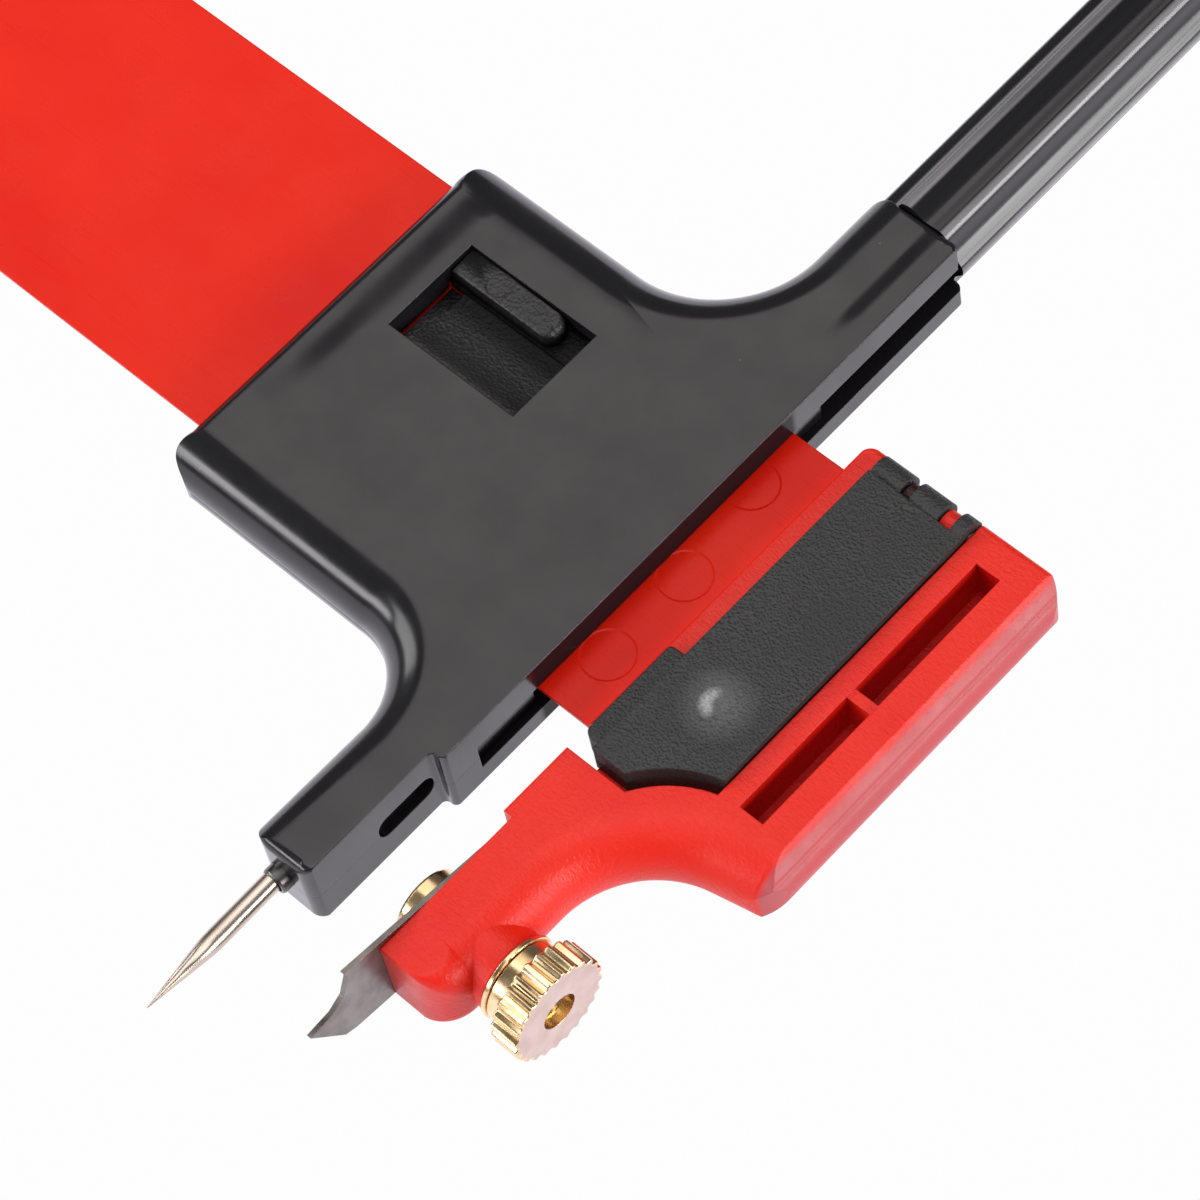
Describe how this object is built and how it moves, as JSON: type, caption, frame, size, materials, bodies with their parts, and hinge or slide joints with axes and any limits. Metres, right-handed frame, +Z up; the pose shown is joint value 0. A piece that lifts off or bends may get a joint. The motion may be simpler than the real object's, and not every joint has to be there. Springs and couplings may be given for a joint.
{
  "type": "circle cutter",
  "caption": "Circle cutter: a flat body with a centre needle and a turning handle carries a sliding ruler arm whose end block clamps a blade and stores spares.",
  "frame": {"origin": "On the body's flat back face, straight under the needle and handle axis, on the centreline of the ruler arm", "axes": "+X along the ruler arm towards the blade, +Y along the needle axis towards the handle, +Z up out of the body's front face"},
  "size_m": [0.116, 0.1343, 0.0103],
  "materials": {
    "black_gloss": "glossy moulded black",
    "black_grain": "fine pebble grain, matte black",
    "handle_black": "glossy extruded black with flutes",
    "arm_red": "satin moulded red",
    "pad_rubber": "matte",
    "needle_steel": "polished",
    "plain_steel": "brushed",
    "blade_steel": "ground",
    "clamp_brass": "turned, bright"
  },
  "bodies": {
    "body": {"body_front_shell": "black_gloss", "body_back_shell": "black_gloss", "lock_leaf": "black_grain", "upper_guide_shoe": "black_gloss", "lower_guide_shoe": "black_gloss", "needle": "needle_steel", "needle_holder": "needle_steel", "spindle": "plain_steel", "spindle_washer": "plain_steel", "spindle_clip": "plain_steel"},
    "handle": {"handle_grip": "handle_black", "handle_end_cap": "handle_black"},
    "lock": {"lock_slider": "black_grain", "brake_pad": "pad_rubber"},
    "arm": {"ruler_arm": "arm_red", "lid_hinge_pin": "plain_steel", "blade": "blade_steel", "clamp_washer": "plain_steel", "spare_blade_1": "blade_steel", "spare_blade_2": "blade_steel", "spare_blade_3": "blade_steel", "spare_blade_4": "blade_steel", "spare_blade_5": "blade_steel"},
    "store_lid": {"blade_store_lid": "black_grain"},
    "bolt": {"clamp_bolt": "clamp_brass"},
    "nut": {"clamp_nut": "clamp_brass"}
  },
  "joints": [
    {"name": "arm_slide", "type": "slide", "parent": "body", "child": "arm", "axis": [1, 0, 0], "range_m": [-0.00495, 0.065]},
    {"name": "handle_turn", "type": "hinge", "parent": "body", "child": "handle", "pos_m": [0, 0, 0.00366], "axis": [0, 1, 0], "continuous": true},
    {"name": "lock_slide", "type": "slide", "parent": "body", "child": "lock", "axis": [-1, 0, 0], "range_m": [0, 0.0008]},
    {"name": "lid_swing", "type": "hinge", "parent": "arm", "child": "store_lid", "pos_m": [0.01558, 0.0147, 0.0049], "axis": [-1, 0, 0], "range_deg": [0, 110]},
    {"name": "nut_turn", "type": "hinge", "parent": "arm", "child": "nut", "pos_m": [0.0176, -0.03, 0.00176], "axis": [1, 0, 0], "range_deg": [0, 720]},
    {"name": "bolt_slide", "type": "slide", "parent": "arm", "child": "bolt", "axis": [-1, 0, 0], "range_m": [0, 0.001]}
  ],
  "couplings": [
    {"joint": "nut_turn", "follows": "bolt_slide", "rad_per_m": 12566}
  ]
}
